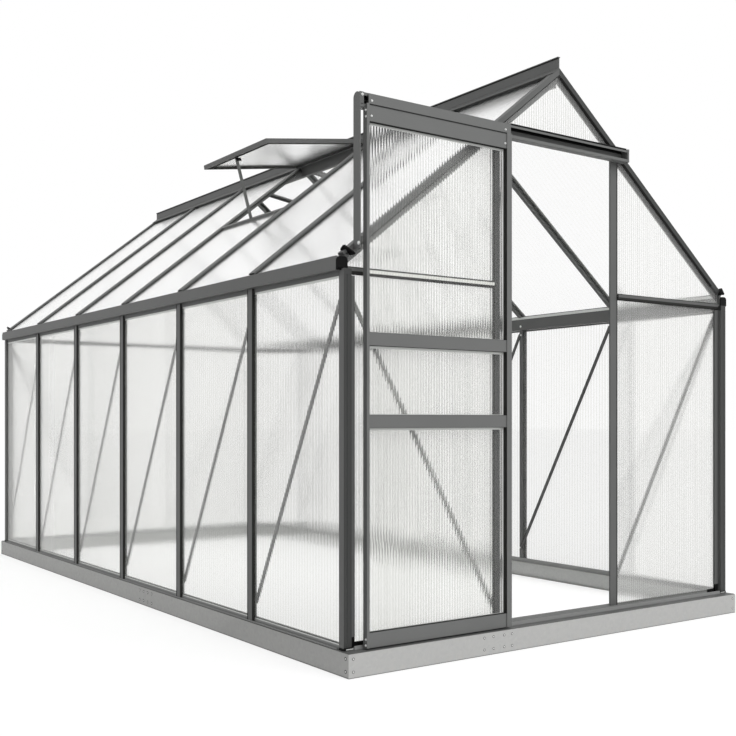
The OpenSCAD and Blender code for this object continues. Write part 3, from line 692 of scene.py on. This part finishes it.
# Dark strips along the gables' foot and the ties' edges: painted shade under and over them.
for side, end in CORNERS:
    seals_and_shade.append(slab((side * BESIDE_POST, end * GABLE_POST_Y, SILL_TOP),
                      (side * STRIP_X, end * (GABLE_POST_Y + 0.8), SILL_TOP + 3.5)))
    for out, low, high in TIE_LIPS:
        seals_and_shade.append(slab((side * BESIDE_POST, end * (GABLE_Y - 9.6), low),
                          (side * (WALL_X - 24), end * (GABLE_Y + out), high)))
piece("wall_seals_and_painted_shade", seals_and_shade, rubber_and_shade)

# %% [markdown]
# ## Seals on the roof
# On the roof the rubber lies low, under the side of each rafter's cap, and along
# the gable rafters' front lips. These dark lines also stand in for the shade along
# the caps and lips: painted shade. The slopes could be drawn flat and tilted, but
# then every part would need its own rotation. A function that turns a place on the
# slope into a place in the house keeps the numbers those of a roofer's ruler.

# %% Places on a slope
def slope_point(side, s, y, n):
    """A point on a roof slope: s down it, n out of it. side is -1 left, 1 right."""
    return Vector((side * (s * cos(PITCH) + n * sin(PITCH)), y,
                   APEX_Z - s * sin(PITCH) + n * cos(PITCH)))


def out_of_slope(side):
    """The direction that a slope faces."""
    return slope_point(side, 0, 0, 1) - slope_point(side, 0, 0, 0)


print("right slope faces", tuple(out_of_slope(1)))

# %% Seals on the slopes and the ridge
ROOF_LIP = [(0, -6.8), (0.7, -6.8), (0.7, -9.8), (0, -9.8)]
RAFTER_SEAL = [(0, 0), (0, -4.5), (2.5, -4.5), (9, -0.6), (9, 0)]
ridge_top = reach("ridge_beam")[1].z
seals_and_shade = []
for side in SIDES:
    up = out_of_slope(side)
    rows = [(y + edge * HALF_BAR, edge) for y in POST_YS for edge in SIDES]
    rows += [(end * (GABLE_Y - 30), -end) for end in SIDES]
    for y, edge in rows:
        seals_and_shade.append(sweep(ROOF_LIP, slope_point(side, 42, y, 0),
                           slope_point(side, RAFTER_END, y, 0), (0, edge, 0), up))
    for end in SIDES:
        # Along the lower edge of a gable rafter's front lip
        y = end * (GABLE_Y - 9.8)
        seals_and_shade.append(sweep(RAFTER_SEAL, slope_point(side, 30, y, -RAFTER_LIP),
                           slope_point(side, 1190, y, -RAFTER_LIP), (0, end, 0), up))
    # Along the top of the ridge's upright fin: a dark strip, painted shadow under its flange
    seals_and_shade.append(slab((side * 2.0, -GABLE_Y + 4, ridge_top - 7),
                      (side * 2.7, GABLE_Y - 4, ridge_top - 3)))
piece("roof_seals_and_painted_shade", seals_and_shade, rubber_and_shade)

# %% [markdown]
# ## Gaskets and edge tape in the door
# Each pane of the door sits in a black gasket, 18 mm behind the stiles' faces. The
# gasket covers the stiles' inner sides all the way to their faces, so it also stands
# in for the shade there: painted shade. The cut ends of a twin-wall sheet are closed
# with a silver tape, which shows as a thin pale line between gasket and sheet. One
# frame-shaped mesh a pane could do it, but four plain strips are what a fitter cuts.

# %% Gaskets and tape
STILE_IN, GRIP_IN = -911.75, -308.75              # inner sides of the stiles
DOOR_Y = reach("door_stiles")[0].y                # the stiles' front faces
RAIL_Y, PANE_Y = DOOR_Y + 3, DOOR_Y + 18
RAILS = ((85, 134), (801, 843), (1070, 1112), (1799, 1839))   # their lower and upper edges
FOOT_TAPE, HEAD_TAPE = 3, 9                       # the tape is wider along a pane's head
gaskets_and_shade, tapes = [], []
for (_, low), (high, _) in zip(RAILS, RAILS[1:]):
    for x, inwards in ((STILE_IN, 1), (GRIP_IN, -1)):
        gaskets_and_shade.append(slab((x, DOOR_Y + 0.8, low), (x + inwards * 0.7, PANE_Y, high)))
        tapes.append(slab((x + inwards * 0.8, PANE_Y - 0.4, low + 1),
                          (x + inwards * 6, PANE_Y, high - 1)))
    for z, inwards, width in ((low, 1, FOOT_TAPE), (high, -1, HEAD_TAPE)):
        gaskets_and_shade.append(slab((STILE_IN + 1, RAIL_Y + 0.8, z),
                            (GRIP_IN - 1, PANE_Y, z + inwards)))
        tapes.append(slab((STILE_IN + 7, PANE_Y - 0.4, z + inwards * 1.2),
                          (GRIP_IN - 7, PANE_Y, z + inwards * width)))
# A strip of the same rubber fills the gap between the rail and the hanger: painted shade
gaskets_and_shade.append(slab((STILE_IN, DOOR_Y + 1, 1851.8), (GRIP_IN, DOOR_Y + 3, 1855)))
piece("door_gaskets_and_painted_shade", gaskets_and_shade, rubber_and_shade, body="door")
piece("door_edge_tapes", tapes, foil, body="door")

# %% [markdown]
# ## Shoes, stops and liners
# Black nylon covers the places where metal would rub or cut: a shoe round the foot
# of each corner post, a cover over the open foot of its strip, a stop on the sill,
# a liner in the track, and the brackets that hold the vents' stays. They are
# moulded, so their edges are rounder than those of a bar. Short sweeps with a
# bevel give that, and no shape here is complex enough to be sculpted.

# %% Shoes at the corners
# The shoe's section steps out round the post and slopes off at the top
SHOE = [(0, 0), (33, 0), (33, 7), (31, 10), (0, 10)]
STRIP_FOOT = 119.2                                # lower end of the corner strips
shoes = []
for side, end in CORNERS:
    inner = side * (WALL_X - 32)
    shoes.append(sweep(SHOE, (inner, end * (GABLE_Y + 15.5), SILL_TOP),
                       (inner, end * (GABLE_Y - 13.5), SILL_TOP),
                       (side, 0, 0), (0, 0, 1)))
    shoes.append(slab((side * (STRIP_X + 1), end * (GABLE_Y - 9), SILL_TOP + 4),
                      (side * (STRIP_X + 14), end * (GABLE_Y + 1), STRIP_FOOT)))
    shoes.append(slab((side * (STRIP_X - 44), end * (GABLE_Y - 7.5), LIP_TOP - 6),
                      (side * STRIP_X, end * (GABLE_Y - 5), LIP_TOP + 9)))
print(len(shoes), "shoes, covers and stops")

# %% Track liner, brackets and gutter ends
VENTS = ((-1, -BAY / 2), (1, BAY / 2))            # side and middle of each vent
STAY_BRACKET = [(-9, 0), (9, 0), (6, -15), (-6, -15)]
# A plate with a round top, as wide as the gutter and the eave beam
GUTTER_END = [(0, 0), (41, 0), (41, 27), (39, 33), (34, 37.5), (27, 39), (14, 39),
              (7, 37.5), (2, 33), (0, 27)]
track_low, track_high = reach("door_track")
# The liner behind the wheels, and a rain strip on the track over the doorway
shoes.append(slab((track_low.x + 4, -GABLE_Y - 5.0, track_high.z - 11),
                  (track_high.x - 3, -GABLE_Y - 2.0, track_high.z - 2.6)))
shoes.append(slab((-280, -GABLE_Y - 34.6, track_high.z - 2.5),
                  (track_high.x - 8, -GABLE_Y, track_high.z + 4.5)))
for side, y in VENTS:
    shoes.append(sweep(STAY_BRACKET, slope_point(side, 484, y, 254),
                       slope_point(side, 506, y, 266), (0, 1, 0), out_of_slope(side)))
for side, end in CORNERS:
    outer = side * (GUTTER_X - 0.3)
    shoes.append(sweep(GUTTER_END, (outer, end * GABLE_Y, EAVE_Z - 39.5),
                       (outer, end * (GABLE_Y + 5), EAVE_Z - 39.5),
                       (-side, 0, 0), (0, 0, 1)))
piece("nylon_shoes_and_liners", shoes, nylon, soften=1.0)

# %% [markdown]
# ## Gaskets in the vents
# A vent is a small frame with its own sheet. A gasket lies under the frame, where
# it meets the roof when shut, and a second one holds the sheet. Both also stand in
# for the shade under the frame and on its inner faces: painted shade. Both are rings
# of four strips, drawn on a flat vent and then turned to its open angle, because a
# ring is far easier to measure when it lies flat.

# %% Vent gaskets
VENT = radians(30)                                # how far the vents are open
VENT_LONG, VENT_HALF = 540.0, 307.0               # length, and half the width
HINGE_S, HINGE_N = 40.3, 3.0                      # where the hinge lies on the slope


def in_vent(side, y, shape):
    """Turns a shape drawn along, across and through a vent into its place."""
    rows, faces = shape
    return [slope_point(side, HINGE_S + a * cos(VENT) - t * sin(VENT), y + b,
                        HINGE_N + a * sin(VENT) + t * cos(VENT)) for a, b, t in rows], faces


def vent_ring(outer, inner, ends_at, sides_at, low, high):
    """Four strips between two distances from a vent's edge. The strips at its ends
    stop ends_at mm from its corners, and those at its sides sides_at mm."""
    strips = []
    for a0, a1 in ((outer, inner), (VENT_LONG - inner, VENT_LONG - outer)):
        strips.append(slab((a0, ends_at - VENT_HALF, low), (a1, VENT_HALF - ends_at, high)))
    for b0, b1 in ((outer, inner), (2 * VENT_HALF - inner, 2 * VENT_HALF - outer)):
        strips.append(slab((sides_at, b0 - VENT_HALF, low),
                           (VENT_LONG - sides_at, b1 - VENT_HALF, high)))
    return strips


gaskets_and_shade = []
for side, y in VENTS:
    under = vent_ring(9, 25, ends_at=25, sides_at=9, low=-0.6, high=0)
    inside = vent_ring(25, 25.8, ends_at=25, sides_at=25.8, low=0.2, high=7.8)
    gaskets_and_shade += [in_vent(side, y, strip) for strip in under + inside]
piece("vent_gaskets_and_painted_shade", gaskets_and_shade, rubber_and_shade)

# %% [markdown]
# ## Caps on the corners and the track
# A cap closes the upper end of each corner post, and an end plate closes the
# track. They are pressed from the same aluminium as the bars and stand a little
# out of them, so they show a thin edge. Painting them on would lose that edge.

# %% Caps
CAP_FOOT, CAP_TOP = 1297.8, EAVE_Z - 40
legs, posts = [], []
for side, end in CORNERS:
    legs.append(slab((side * (WALL_X - 9), end * (GABLE_Y - 13), CAP_FOOT),
                     (side * WALL_X, end * (GABLE_Y + 14), CAP_TOP)))
    posts.append(slab((side * (WALL_X - 31), end * GABLE_Y, CAP_FOOT),
                      (side * (WALL_X - 0.5), end * (GABLE_Y + 14.4), CAP_TOP)))
piece("corner_leg_caps", legs, wall_coat, soften=0.6)
# The caps over the corner posts' fronts take the same painted shade.
piece("corner_post_caps", posts, shade_coat, soften=0.6)

PLATE_X = track_high.x + 7                        # outer face of the end plate
FLAP_BACK, FLAP_FRONT = -GABLE_Y - 34.2, -GABLE_Y - 35.5
plate = [slab((track_high.x + 0.2, -GABLE_Y - 35, track_low.z - 1),
              (PLATE_X, -GABLE_Y, track_high.z + 3))]
# Two flaps fold round the track's front
for low, high in ((track_low.z - 1, track_low.z + 8), (track_high.z - 8, track_high.z + 3)):
    plate.append(slab((track_high.x - 5, FLAP_FRONT, low), (PLATE_X, FLAP_BACK, high)))
# The end plate takes the door's coat, painted lighter as light.
piece("track_end_cap", plate, door_coat_painted_lit, soften=0.8)

# %% [markdown]
# ## Pale edges
# Aluminium tape closes the open ends of the wall sheets. It shows as a pale line
# under the eaves, above the eave beam indoors, and along the foot of the walls. A
# pale strip round each corner shoe is a painted highlight on its rim, and a pale
# strip on the tie bar behind the open door is a painted highlight on its lit top.
# Lines this thin could be left out, but they are what makes the sheets look cut and fitted.

# %% Tapes and painted highlights
BEAM_X = 967.0                                    # inner face of the eave beams
SHEET_X = WALL_X - 10                             # outer face of the wall sheets
tapes = []
for side in SIDES:
    # Out from the middle, and up, from one corner of each tape to the other
    for x0, x1, short, low, high in (
            (SHEET_X, SHEET_X + 0.4, 16, 1289, 1297),
            (BEAM_X - 0.8, BEAM_X, 26, EAVE_Z - 4, EAVE_Z + 8),
            (SHEET_X + 0.1, SHEET_X + 0.6, 16, LIP_TOP, LIP_TOP + 4)):
        tapes.append(slab((side * x0, -GABLE_Y + short, low),
                          (side * x1, GABLE_Y - short, high)))
# A pale strip round each shoe's rim: painted highlight.
for side, end in CORNERS:
    tapes.append(slab((side * (WALL_X - 36), end * (GABLE_Y + 15.4), SILL_TOP + 2.5),
                      (side * (WALL_X - 8), end * (GABLE_Y + 16.4), SILL_TOP + 6)))
piece("eave_tapes_and_painted_shoe_highlights", tapes, foil)
# The pale strip on the tie is a painted highlight on its lit top.
strip = slab((-900, -GABLE_Y - 3, TIE_LOW + 4), (-DOOR_POST_X - 24, -GABLE_Y, TIE_HIGH - 3))
piece("tie_painted_highlight", [strip], tie_highlight_paint, soften=0.5)

# %% [markdown]
# ## Rolled edges of the braces
# Each brace is a thin strip whose two edges are rolled over, so that it doesn't
# bend. They stand 2 mm into the house, for close views: from afar a brace still
# shows as one line. A bump in the finish would leave the strip's outline as it
# is, so they are two thin sweeps.

# %% Edges of the braces
BRACE_BACK = BAR_DEPTH + 3                        # bars' depth and the brace's own 3 mm
BRACE_LOW, BRACE_HIGH = 150.0, POST_TOP - 38      # heights of a wall brace's ends
BRACE_END = 4                                     # how far an end lies past its bar's middle
EDGE_IN, EDGE_OUT = 6.4, 8.2                      # from the brace's middle line


def rolled_edges(start, end, inwards):
    """Two raised edges along a flat brace: inwards is the way into the house."""
    start, end, inwards = Vector(start), Vector(end), Vector(inwards)
    across = (end - start).cross(inwards).normalized()
    return [sweep([(edge * EDGE_IN, -2.8), (edge * EDGE_OUT, -2.8),
                   (edge * EDGE_OUT, 2.2), (edge * EDGE_IN, 2.2)],
                  start, end, across, inwards) for edge in SIDES]


edges = []
LAST_Y = GABLE_Y - BAR_DEPTH / 2                  # where the end bays' braces begin
for side in SIDES:
    x = side * (WALL_X - BRACE_BACK)
    lines = [-LAST_Y] + POST_YS + [LAST_Y]
    for front, rear in zip(lines, lines[1:]):
        edges += rolled_edges((x, rear - BRACE_END, BRACE_LOW),
                              (x, front + BRACE_END, BRACE_HIGH), (-side, 0, 0))
    for end in SIDES:
        y = end * (GABLE_Y - BRACE_BACK)
        edges += rolled_edges((side * (DOOR_POST_X + BRACE_END), y, BRACE_LOW),
                              (side * 950, y, 1251), (0, -end, 0))
# The rolls take the near-black coat of painted shade.
piece("brace_rolled_edges", edges, shade_coat, soften=0.5)

# %% [markdown]
# ## A painted shadow at the foot
# The foot of the base is painted darker, as the shadow where it meets the ground. It
# could be a gradient in the zinc's finish, but its upper edge is sharp and level, so
# it is a strip 0.3 mm thick.

# %% Painted shadow along the foot of the base
foot_shadow = []
for s in SIDES:
    foot_shadow.append(slab((s * BASE_X, -BASE_Y + 2.2, 0),
                      (s * (BASE_X + 0.3), BASE_Y - 2.2, 3.5)))
    foot_shadow.append(slab((-BASE_X, s * BASE_Y, 0), (BASE_X, s * (BASE_Y + 0.3), 2.5)))
piece("base_foot_painted_shadow", foot_shadow, foot_shadow_paint)

# %% [markdown]
# ## Rivets
# The base comes flat-packed: folded strips that meet in the corners and in the
# middle of each side. Two rows of blind rivets hold every joint. Each is a low
# dome on a flat flange, with a pit where its pin snapped off. A ball pressed half
# into the steel would be simpler, but it has no flange and no pit.

# %% Rivets
def rivet(at, out, r=2.9):
    """Domed blind rivet: flange, dome and the small pit where the pin snapped."""
    return turned([(r, 0), (r, 0.5), (r * 0.8, 1.0), (r * 0.45, 1.4),
                   (r * 0.3, 1.4), (r * 0.26, 0.8), (0.1, 0.8)], at, out, 14)


ROWS = (20.5, 62.0)                               # heights of the two rows
CORNER_RIVET = 18                                 # from a corner to its rivets
GABLE_SPLICE = (-427, -384, -334, -296)           # rivets of the splices, from the middle
SIDE_SPLICE = (-365, -322, -278, -235)
spots = []
for z in ROWS:
    for side, end in CORNERS:
        spots.append(((side * (BASE_X - CORNER_RIVET), end * BASE_Y, z), (0, end, 0)))
        spots.append(((side * BASE_X, end * (BASE_Y - CORNER_RIVET), z), (side, 0, 0)))
    for end in SIDES:
        spots += [((-end * x, end * BASE_Y, z), (0, end, 0)) for x in GABLE_SPLICE]
    for side in SIDES:
        spots += [((side * BASE_X, y, z), (side, 0, 0)) for y in SIDE_SPLICE]
rivets = [rivet(at, out) for at, out in spots]
piece("base_rivets", rivets, zinc)

# %% [markdown]
# ## Dark rings round the rivets
# A thin dark ring lies round each rivet. On the long sides the ring is wider. It
# could be painted in the zinc's finish, but that finish doesn't know where the
# rivets are. A thin disc under each does.

# %% Dark rings
NARROW_RING, WIDE_RING, RING_T = 4.8, 6.0, 0.25
rings = []
for at, out in spots:
    r = WIDE_RING if out[0] else NARROW_RING
    rings.append(turned([(r, 0), (r - 0.1, RING_T)], at, out, 16))
piece("base_rivet_rings", rings, rubber_and_shade)

# %% [markdown]
# ## Bolts
# The bars are held by small square-necked bolts, of which only a hexagon nut on a
# washer shows. A thread would be hidden or too fine to see, so there is none.

# %% Bolts of the door
def nut(at, out, r=4.0):
    """Washer with a hexagon nut on it."""
    at, out = Vector(at), Vector(out)
    return [turned([(r * 1.5, 0), (r * 1.5, 0.9), (r * 1.3, 1.1)], at, out, 16),
            turned([(r, 1.1), (r, 3.4), (r * 0.85, 4.0)], at, out, 6)]


OUT_FRONT, OUT_LEFT = (0, -1, 0), (-1, 0, 0)
door_bolts = []
for x in (STILE_IN + 9.5, GRIP_IN - 6.5):
    door_bolts += nut((x, reach("door_hanger")[0].y, 1865), OUT_FRONT, 2.6)
    door_bolts += nut((x, RAIL_Y, 1816), OUT_FRONT, 2.6)
for z in (95, 114, 1812, 1833):
    door_bolts += nut((STILE_IN - 10.5, DOOR_Y + 6, z), OUT_LEFT, 2.8)
piece("door_bolts", door_bolts, zinc, body="door")

# %% Bolts of the frame
BRACE_BOLT, END_BOLT_Y = 3.5, 1834.0              # their size, and the outermost ones
strut_low = reach("track_strut")[0]
frame_bolts = nut((strut_low.x + 10, strut_low.y, 1882), OUT_FRONT, 3.0)
frame_bolts += nut((strut_low.x, -GABLE_Y - 31, strut_low.z + 16), OUT_LEFT, 4.2)
for side in SIDES:
    inwards = (-side, 0, 0)
    for y in POST_YS:
        frame_bolts += nut((side * BEAM_X, y, EAVE_Z - 40), inwards)
    x = side * (WALL_X - BRACE_BACK)
    for y in [-END_BOLT_Y] + [y - BRACE_END for y in POST_YS]:
        frame_bolts += nut((x, y, BRACE_HIGH - 2), inwards, BRACE_BOLT)
    for y in [y + BRACE_END for y in POST_YS] + [END_BOLT_Y]:
        frame_bolts += nut((x, y, BRACE_LOW + 2), inwards, BRACE_BOLT)
    for end in SIDES:
        y, inwards = end * (GABLE_Y - BRACE_BACK), (0, -end, 0)
        frame_bolts += nut((side * (DOOR_POST_X + BRACE_END), y, BRACE_LOW + 2),
                           inwards, BRACE_BOLT)
        frame_bolts += nut((side * (WALL_X - 34), y, BRACE_HIGH - 4), inwards, BRACE_BOLT)
piece("frame_bolts", frame_bolts, zinc)
